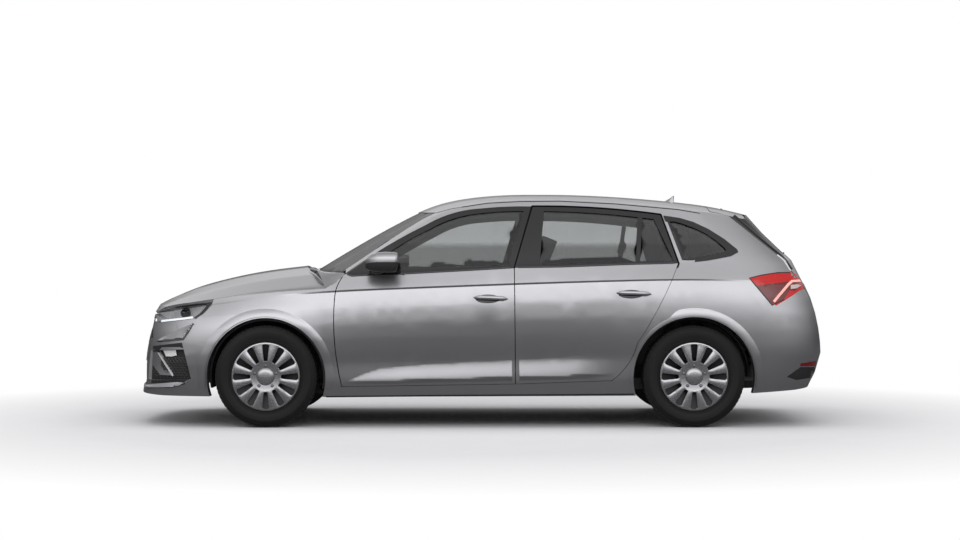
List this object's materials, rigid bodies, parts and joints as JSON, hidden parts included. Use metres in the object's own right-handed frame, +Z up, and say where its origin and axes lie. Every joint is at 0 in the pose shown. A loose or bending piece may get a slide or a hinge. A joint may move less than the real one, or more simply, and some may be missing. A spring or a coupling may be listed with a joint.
{
  "type": "hatchback car",
  "caption": "Compact five-door hatchback car with opening doors, bonnet and tailgate, steered front wheels and free-turning wheels.",
  "frame": {"origin": "on the ground at the middle of the car's length and width", "axes": "+Z up, -X towards the nose, -Y towards the car's left side"},
  "size_m": [4.3614, 1.99, 1.4709],
  "materials": {
    "body_paint": "silver-grey metallic, glossy",
    "black_trim": "grained matt black",
    "cabin_glass": "light grey tint",
    "clear_lens": "clear polished",
    "red_lens": "clear red, polished",
    "underbody_steel": "matt black underseal",
    "exhaust_steel": "dull",
    "seat_fabric": "dark woven cloth",
    "tyre_rubber": "matt",
    "wheel_steel": "satin black",
    "cover_silver": "silver paint"
  },
  "bodies": {
    "root": {"body_sides": "body_paint", "bumper_front": "body_paint", "bumper_rear": "body_paint", "fenders": "body_paint", "roof_panel": "body_paint", "cowl": "black_trim", "grilles": "black_trim", "headlamps": "clear_lens", "fixed_glass": "cabin_glass", "tail_lamps": "red_lens", "floor_pan": "underbody_steel", "front_subframe": "underbody_steel", "rear_axle": "underbody_steel", "engine_block": "underbody_steel", "exhaust": "exhaust_steel", "dashboard": "black_trim", "steering_wheel": "black_trim", "seats": "seat_fabric", "side_frames": "body_paint"},
    "bonnet": {"bonnet": "body_paint"},
    "tailgate": {"tailgate": "body_paint", "tailgate_glass": "cabin_glass", "tailgate_lamps": "red_lens"},
    "door_front_left": {"door_front_left": "body_paint", "glass_front_left": "cabin_glass", "mirror_left": "body_paint"},
    "door_front_right": {"door_front_right": "body_paint", "glass_front_right": "cabin_glass", "mirror_right": "body_paint"},
    "door_rear_left": {"door_rear_left": "body_paint", "glass_rear_left": "cabin_glass"},
    "door_rear_right": {"door_rear_right": "body_paint", "glass_rear_right": "cabin_glass"},
    "knuckle_left": {"knuckle_left": "underbody_steel"},
    "knuckle_right": {"knuckle_right": "underbody_steel"},
    "wheel_front_left": {"tyre_front_left": "tyre_rubber", "wheel_front_left": "wheel_steel", "cover_front_left": "cover_silver"},
    "wheel_front_right": {"tyre_front_right": "tyre_rubber", "wheel_front_right": "wheel_steel", "cover_front_right": "cover_silver"},
    "wheel_rear_left": {"tyre_rear_left": "tyre_rubber", "wheel_rear_left": "wheel_steel", "cover_rear_left": "cover_silver"},
    "wheel_rear_right": {"tyre_rear_right": "tyre_rubber", "wheel_rear_right": "wheel_steel", "cover_rear_right": "cover_silver"}
  },
  "joints": [
    {"name": "door_front_left_hinge", "type": "hinge", "parent": "root", "child": "door_front_left", "pos_m": [-0.8951, -0.896, 0.6], "axis": [0, 0, -1], "range_deg": [0, 65]},
    {"name": "door_front_right_hinge", "type": "hinge", "parent": "root", "child": "door_front_right", "pos_m": [-0.8951, 0.896, 0.6], "axis": [0, 0, 1], "range_deg": [0, 65]},
    {"name": "door_rear_left_hinge", "type": "hinge", "parent": "root", "child": "door_rear_left", "pos_m": [0.218, -0.896, 0.6], "axis": [0, 0, -1], "range_deg": [0, 65]},
    {"name": "door_rear_right_hinge", "type": "hinge", "parent": "root", "child": "door_rear_right", "pos_m": [0.218, 0.896, 0.6], "axis": [0, 0, 1], "range_deg": [0, 65]},
    {"name": "bonnet_hinge", "type": "hinge", "parent": "root", "child": "bonnet", "pos_m": [-0.938, 0, 0.883], "axis": [0, 1, 0], "range_deg": [0, 50]},
    {"name": "tailgate_hinge", "type": "hinge", "parent": "root", "child": "tailgate", "pos_m": [1.4635, 0, 1.403], "axis": [0, -1, 0], "range_deg": [0, 78]},
    {"name": "steer_left", "type": "hinge", "parent": "root", "child": "knuckle_left", "pos_m": [-1.319, -0.7405, 0.316], "axis": [0, 0, 1], "range_deg": [-33, 33]},
    {"name": "steer_right", "type": "hinge", "parent": "root", "child": "knuckle_right", "pos_m": [-1.319, 0.7405, 0.316], "axis": [0, 0, 1], "range_deg": [-33, 33]},
    {"name": "wheel_front_left_spin", "type": "hinge", "parent": "knuckle_left", "child": "wheel_front_left", "pos_m": [-1.319, -0.7655, 0.316], "axis": [0, 1, 0], "continuous": true},
    {"name": "wheel_front_right_spin", "type": "hinge", "parent": "knuckle_right", "child": "wheel_front_right", "pos_m": [-1.319, 0.7655, 0.316], "axis": [0, 1, 0], "continuous": true},
    {"name": "wheel_rear_left_spin", "type": "hinge", "parent": "root", "child": "wheel_rear_left", "pos_m": [1.33, -0.758, 0.316], "axis": [0, 1, 0], "continuous": true},
    {"name": "wheel_rear_right_spin", "type": "hinge", "parent": "root", "child": "wheel_rear_right", "pos_m": [1.33, 0.758, 0.316], "axis": [0, 1, 0], "continuous": true}
  ],
  "couplings": [
    {"joint": "steer_right", "follows": "steer_left", "ratio": 1}
  ]
}
